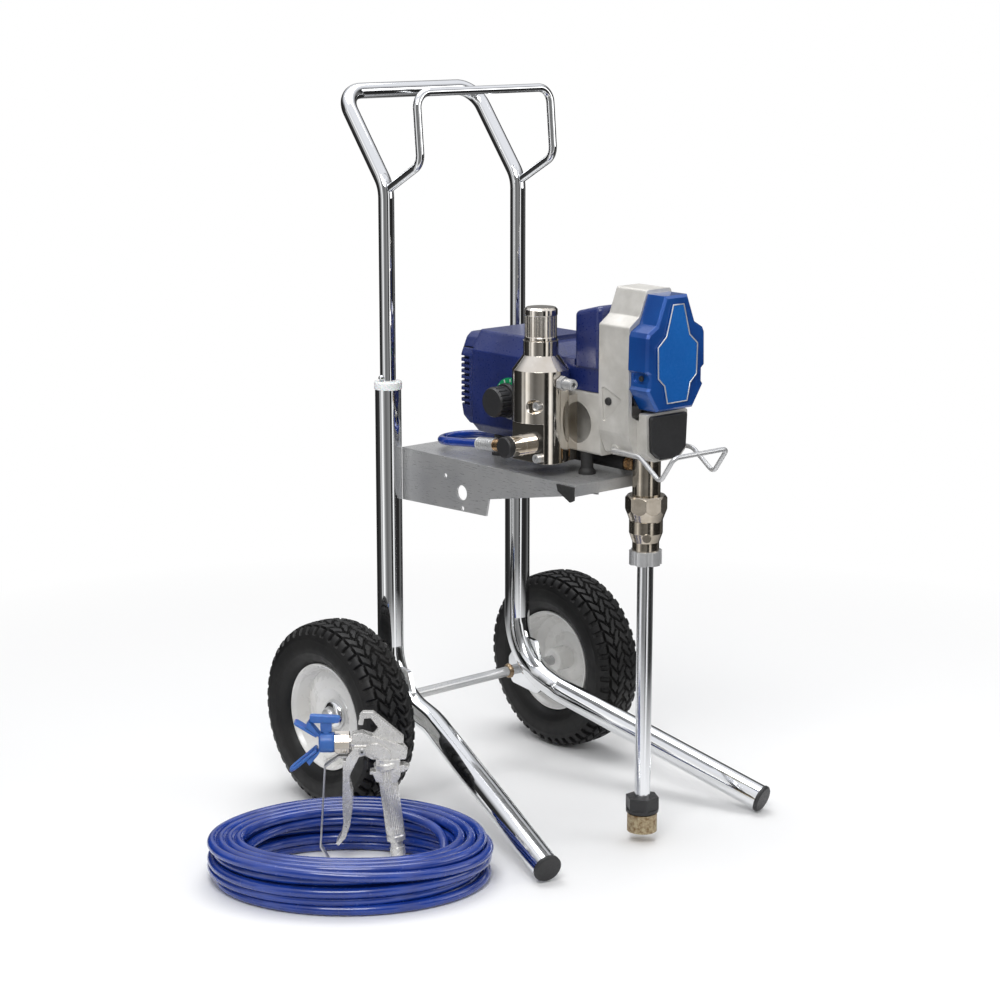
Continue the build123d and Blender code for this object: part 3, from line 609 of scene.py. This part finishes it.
def dress(piece, material):
    """Gives the whole piece this material."""
    piece.data.materials.clear()
    piece.data.materials.append(material)


for part in frame["record"]["subparts"]:
    dress(nodes[part["node"]], finishes[part["material_slot"]])
for name in ("pump_cylinder", "pump_nut", "intake_body"):
    dress(nodes[name], pump_finish)
dress(nodes["strainer"], mesh_finish)
dress(hose, finishes["hose_blue"])


# ---------------------------------------------------------------- making pieces
SHARP_ANGLE = math.radians(35)


def settle(piece, material, body):
    """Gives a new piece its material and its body."""
    dress(piece, material)
    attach(piece, body)
    return piece


def add_piece(name, vertices, faces, material, body):
    """A mesh piece in the frame, smooth but for its sharp edges, riding on a body."""
    data = bpy.data.meshes.new(name)
    data.from_pydata([tuple(v) for v in vertices], [], faces)
    data.validate()
    mesh = bmesh.new()
    mesh.from_mesh(data)
    bmesh.ops.recalc_face_normals(mesh, faces=mesh.faces)
    mesh.to_mesh(data)
    mesh.free()
    piece = bpy.data.objects.new(name, data)
    scene.collection.objects.link(piece)
    for face in data.polygons:
        face.use_smooth = True
    data.set_sharp_from_angle(angle=SHARP_ANGLE)
    return settle(piece, material, body)


def square_axes(direction):
    """The direction and two more at right angles to it, all of unit length."""
    along = Vector(direction).normalized()
    aside = along.orthogonal().normalized()
    return along, aside, along.cross(aside)


def turned(
    name, origin, direction, profile, material, body, segments=48, flutes=0, flute_depth=0.0
):
    """Body of revolution about a line: profile is (radius, distance) in millimetres."""
    along, aside, up = square_axes(direction)
    vertices, faces = [], []
    for radius, distance in profile:
        for step in range(segments):
            angle = 2 * math.pi * step / segments
            reach = radius + flute_depth * math.cos(flutes * angle)
            ring = aside * (reach * math.cos(angle)) + up * (reach * math.sin(angle))
            vertices.append(place(*(Vector(origin) + along * distance + ring)))
    for row in range(len(profile) - 1):
        for step in range(segments):
            after = (step + 1) % segments
            low, high = row * segments, (row + 1) * segments
            faces.append((low + step, low + after, high + after, high + step))
    faces.append(tuple(range(segments - 1, -1, -1)))
    last = (len(profile) - 1) * segments
    faces.append(tuple(range(last, last + segments)))
    return add_piece(name, vertices, faces, material, body)


def plate(name, outline, origin, x_dir, y_dir, thickness, material, body, bevel=0.0):
    """Flat plate: an outline in millimetres on two directions, as thick as said along their normal."""
    right, up = Vector(x_dir).normalized(), Vector(y_dir).normalized()
    normal = right.cross(up)
    vertices = []
    for depth in (0, thickness):
        for x, y in outline:
            vertices.append(place(*(Vector(origin) + right * x + up * y + normal * depth)))
    count = len(outline)
    faces = [tuple(range(count - 1, -1, -1)), tuple(range(count, 2 * count))]
    for step in range(count):
        after = (step + 1) % count
        faces.append((step, after, count + after, count + step))
    piece = add_piece(name, vertices, faces, material, body)
    if bevel:
        modifier = piece.modifiers.new("edges", "BEVEL")
        modifier.width = bevel * MM
        modifier.segments = 3
        modifier.limit_method = "ANGLE"
    return piece


def wire(name, points, radius, material, body, closed=False):
    """Round wire through points given in millimetres."""
    data = bpy.data.curves.new(name, "CURVE")
    data.dimensions = "3D"
    spline = data.splines.new("POLY")
    spline.points.add(len(points) - 1)
    for knot, point in zip(spline.points, points):
        knot.co = (*place(*point), 1)
    spline.use_cyclic_u = closed
    data.bevel_depth = radius * MM
    data.bevel_resolution = 3
    data.use_fill_caps = not closed
    piece = bpy.data.objects.new(name, data)
    scene.collection.objects.link(piece)
    return settle(piece, material, body)


def screw(name, at, direction, radius, material, body):
    """Button-head screw whose six-sided socket is painted shade: a thin black hexagon on the head, with
    no recess cut.
    """
    shape = [(1, 0), (1, 0.35), (0.86, 0.62), (0.5, 0.72)]
    head = [(radius * wide, radius * high) for wide, high in shape]
    turned(name, at, direction, head, material, body, 32)
    # painted shade: a black six-sided disc on the head stands for the shade inside the socket
    socket_shade_at = Vector(at) + Vector(direction).normalized() * radius * 0.70
    socket_shade = [(radius * 0.42, 0), (radius * 0.42, radius * 0.045)]
    socket_shade_black = finishes["black_plastic"]
    turned(name + "_socket_shade", socket_shade_at, direction, socket_shade, socket_shade_black, body, 6)


# ---------------------------------------------------------------- tyres
LUGS = 46
TYRE_STEPS = 828
TYRE_ROWS = 120
TREAD_DEPTH = 4.2
CROWN_HALF = 30.0
tyre_section = [
    (72, -24), (80, -32.4), (90, -36.8), (100, -37.6), (109, -36.9), (116, -34.4), (121.5, -30.0),
    (125, -22), (126.6, -10), (127, 0), (126.6, 10), (125, 22), (121.5, 30.0), (116, 34.4), (109, 36.9),
    (100, 37.6), (90, 36.8), (80, 32.4), (72, 24),
]


def ramp_up(value, low, high):
    """0 below low, 1 above high, and a soft step between."""
    share = np.clip((value - low) / (high - low), 0, 1)
    return share * share * (3 - 2 * share)


def rounded_section(points, count):
    """Evenly spaced points on a smooth curve through the section's points, and their normals."""
    knots = np.array(points, float)
    gaps = np.linalg.norm(np.diff(knots, axis=0), axis=1)
    reach = np.concatenate([[0], np.cumsum(gaps)])
    slopes = np.gradient(knots, reach, axis=0)
    wanted = np.linspace(0, reach[-1], count)
    index = np.clip(np.searchsorted(reach, wanted, side="right") - 1, 0, len(gaps) - 1)
    step = (wanted - reach[index]) / gaps[index]
    step = step[:, None]
    width = gaps[index][:, None]
    here, after = knots[index], knots[index + 1]
    curve = (
        (2 * step**3 - 3 * step**2 + 1) * here + (step**3 - 2 * step**2 + step) * width * slopes[index]
        + (3 * step**2 - 2 * step**3) * after + (step**3 - step**2) * width * slopes[index + 1]
    )
    tangent = np.gradient(curve, axis=0)
    tangent /= np.linalg.norm(tangent, axis=1)[:, None]
    normal = np.stack([tangent[:, 1], -tangent[:, 0]], axis=1)
    return curve, normal


def tread_cut(turn, width, radius):
    """How deep the tread is cut, 0 to 1: zigzag lugs between wavy grooves, square shoulder teeth."""
    side = np.abs(width) / CROWN_HALF
    wave = 0.055 * np.sin(2 * math.pi * turn * LUGS)
    phase = (turn * LUGS + 2.1 * np.abs(side - 0.42) + 0.25) % 1.0
    between = 0.85 * ramp_up(np.abs(phase - 0.5), 0.36, 0.42)
    long_grooves = np.zeros_like(side)
    for groove in (0.0, 0.42):
        distance = np.abs(np.where(groove, side, width / CROWN_HALF) - groove - wave)
        long_grooves = np.maximum(long_grooves, 1 - ramp_up(distance, 0.018, 0.050))
    crown = np.maximum(between, long_grooves)
    shoulder_line = 1 - ramp_up(np.abs(side - 0.86), 0.018, 0.045)
    teeth = ramp_up(np.abs((turn * LUGS + 0.9) % 1.0 - 0.5), 0.27, 0.33)
    on_shoulder = ramp_up(side, 0.84, 0.88)
    cut = np.maximum(crown * (1 - on_shoulder) + teeth * on_shoulder, shoulder_line)
    return cut * ramp_up(radius, 112.5, 115.0)


def tyre(side):
    """Pneumatic tyre with its tread cut into the mesh, in place of the plain one."""
    low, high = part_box("tyre_" + side)
    centre = (low + high) / 2
    outward = -1.0 if side == "left" else 1.0
    curve, normal = rounded_section(tyre_section, TYRE_ROWS)
    turn = np.arange(TYRE_STEPS) / TYRE_STEPS
    turns, radii = np.meshgrid(turn, curve[:, 0], indexing="ij")
    widths = np.broadcast_to(curve[:, 1], radii.shape)
    cut = tread_cut(turns, widths, radii) * TREAD_DEPTH
    rings = 0.35 * np.exp(-((radii - 88) / 1.1) ** 2) + 0.45 * np.exp(-((radii - 107) / 1.4) ** 2)
    depth = cut - rings
    radii = radii + normal[None, :, 0] * -depth
    widths = widths + normal[None, :, 1] * -depth
    angles = turns * 2 * math.pi
    places = np.stack([
        centre.x + outward * widths * MM,
        centre.y + radii * np.cos(angles) * MM,
        centre.z + radii * np.sin(angles) * MM,
    ], axis=-1).reshape(-1, 3)
    step = np.arange(TYRE_STEPS)[:, None] * TYRE_ROWS
    after = (np.arange(TYRE_STEPS)[:, None] + 1) % TYRE_STEPS * TYRE_ROWS
    row = np.arange(TYRE_ROWS)[None, :]
    beyond = (row + 1) % TYRE_ROWS
    faces = np.stack([step + row, step + beyond, after + beyond, after + row], axis=-1).reshape(-1, 4)
    return add_piece("tyre_tread_" + side, places, faces.tolist(), finishes["tyre_rubber"],
                     "wheel_" + side)


for side in ("left", "right"):
    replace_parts(tyre(side), "tyre_" + side)

# ---------------------------------------------------------------- machine details
FACE_Y = -421.1
panel_half = [(17, 580), (22, 602), (33, 612), (34, 650), (20, 662), (9, 700)]
panel_loop = panel_half + [(-x, z) for x, z in reversed(panel_half)]
trim_line = [(x, FACE_Y, z) for x, z in panel_loop]
wire("panel_trim", trim_line, 0.9, finishes["zinc_steel"], "cart", closed=True)
dark = finishes["black_plastic"]
for side in (-1, 1):
    outward = (side, 0, 0)
    for name, spot, radius in (("cover", (46.5, -406, 612), 3.6), ("housing", (47.4, -350, 577), 5.0)):
        at = (side * spot[0], spot[1], spot[2])
        screw(f"{name}_screw_{side + 1}", at, outward, radius, dark, "cart")

# pressure control: a green scale on the base, with plain ticks, and a bright ring under it
KNOB_Y, KNOB_Z = -180, 558
DIAL_X = -58.1


def knob_ring(name, x, thickness, inner, outer, start, end, material):
    """Part of a flat ring about the pressure knob's axis, facing outwards."""
    steps = 48
    turns = [math.radians(start + (end - start) * step / steps) for step in range(steps + 1)]
    outline = [(outer * math.cos(a), outer * math.sin(a)) for a in turns]
    outline += [(inner * math.cos(a), inner * math.sin(a)) for a in reversed(turns)]
    return plate(name, outline, (x, KNOB_Y, KNOB_Z), (0, -1, 0), (0, 0, 1), thickness, material, "cart")


knob_ring("dial_scale", DIAL_X, 1.6, 20.4, 28.5, -25, 150, green_finish)
for tick in range(7):
    middle = -12 + 25 * tick
    knob_ring(f"dial_tick_{tick}", DIAL_X - 1.7, 0.25, 23.0, 27.0, middle - 1.8, middle + 1.8,
              finishes["white_plastic"])
knob_ring("dial_rim", DIAL_X, 1.3, 20.4, 25.5, 160, 325, finishes["zinc_steel"])

# crimped sleeve on the end of the short hose
SLEEVE_AT = (-88, -200, 505)
SLEEVE_ALONG = (0, 150, -14)
sleeve = [(7.0, 14), (8.8, 14.6)]
for rib in range(7):
    start = 16 + 4.2 * rib
    sleeve += [(9.0, start), (9.0, start + 2.8), (8.45, start + 3.3), (8.45, start + 4.0)]
sleeve += [(9.0, 46), (8.6, 47.2), (7.0, 47.4)]
turned("hose_sleeve", SLEEVE_AT, SLEEVE_ALONG, sleeve, finishes["zinc_steel"], "cart")

# dark stop under the front corner of the platform
stop_outline = [(0, 0), (32, 0), (31, 17), (25, 20), (3, 9)]
plate("platform_stop", stop_outline, (-98.5, -314, 475), (0, -1, 0), (0, 0, -1), -4.0,
      finishes["black_rubber"], "cart", bevel=0.8)

# welds, tinted by the heat
AXLE_Z = 127
bead = [(7.2, 0), (10.5, 0.2), (10.0, 2.4), (8.4, 4.4), (7.2, 5.2)]
for side in (-1, 1):
    inner_face = side * 98.5
    turned(f"axle_weld_{side + 1}", (inner_face, AXLE_SETBACK, AXLE_Z), (-side, 0, 0), bead, weld_finish,
           "cart", flutes=14, flute_depth=0.25)

# cupped ends of the hubs
CUP_X = 205 + 15 - 8.8
cup = [
    (12.5, 0.0), (19.5, 0.3), (20.5, 2.0), (19.4, 5.5), (16.5, 8.6), (12.5, 9.6), (11.6, 9.0),
    (11.6, 0.0),
]
for name, side in (("left", -1), ("right", 1)):
    turned("hub_cup_" + name, (side * CUP_X, AXLE_SETBACK, AXLE_Z), (side, 0, 0), cup,
           finishes["frame_chrome"], "wheel_" + name)

# ---------------------------------------------------------------- spray gun details
GUN_FOOT = (-324.0, -190.0)
GUN_HEADING = math.radians(138.6)
GUN_FORWARD = Vector((math.cos(GUN_HEADING), math.sin(GUN_HEADING), 0))
GUN_SIDE = Vector((-math.sin(GUN_HEADING), math.cos(GUN_HEADING), 0))


def on_gun(x, y, z):
    """A point of the gun, in its own axes, as a point of the cart."""
    return Vector((GUN_FOOT[0], GUN_FOOT[1], z)) + GUN_FORWARD * x + GUN_SIDE * y


def gun_direction(x, y, z):
    """A direction of the gun, in its own axes, as a direction of the cart."""
    return GUN_FORWARD * x + GUN_SIDE * y + Vector((0, 0, z))


grip = [(10.6, 14.5), (11.35, 16.5), (11.35, 98.0), (10.6, 99.5)]
turned("gun_grip", on_gun(-36, 0, 137.7), gun_direction(-0.12, 0, -1), grip, finishes["gun_metal"],
       "gun", segments=240, flutes=30, flute_depth=0.38)
link_outline = [(0, 7), (7, 3), (7, -4), (-14, -17), (-21, -17), (-24, -10), (-22, -2), (-8, 7)]
for side in (-1, 1):
    outward = gun_direction(0, side, 0)
    screw(f"gun_pivot_{side + 1}", on_gun(-8, side * 12.4, 149.5), outward, 4.2,
          finishes["zinc_steel"], "trigger")
    screw(f"gun_screw_{side + 1}", on_gun(-31, side * 9.9, 130), outward, 3.2,
          finishes["zinc_steel"], "gun")
    plate(f"gun_link_{side + 1}", link_outline if side > 0 else link_outline[::-1],
          on_gun(-20, side * 8.1, 152), gun_direction(1, 0, 0), (0, 0, 1), -2.2 * side,
          finishes["gun_metal"], "gun", bevel=0.5)

# tip guard: solid upper wing, open lower loop; and the tip's handle
wing_outline = [(0, -9), (6, -10), (30, -10), (33, -7), (33, 7), (30, 10), (6, 10), (0, 9)]
plate("guard_wing", wing_outline, on_gun(49, 0, 166), gun_direction(0.845, 0, 0.53),
      gun_direction(0, 1, 0), 3.4, finishes["tip_blue"], "guard", bevel=1.0)
loop = [(50, 9, 149), (64, 9.5, 137), (77, 8.5, 126), (81, 5, 123), (81, -5, 123), (77, -8.5, 126),
        (64, -9.5, 137), (50, -9, 149)]
loop_line = [on_gun(*spot) for spot in loop]
wire("guard_loop", loop_line, 2.3, finishes["tip_blue"], "guard", closed=True)
tee_outline = [(-18, -4), (-16, -5.5), (16, -5.5), (19, -3.5), (19, 4.5), (15, 5.0), (-15, 3.5), (-19, 2)]
plate("tip_tee", tee_outline, on_gun(38, 4.4, 189), gun_direction(1, 0, 0), (0, 0, 1), 8.8,
      finishes["tip_blue"], "tip", bevel=1.4)
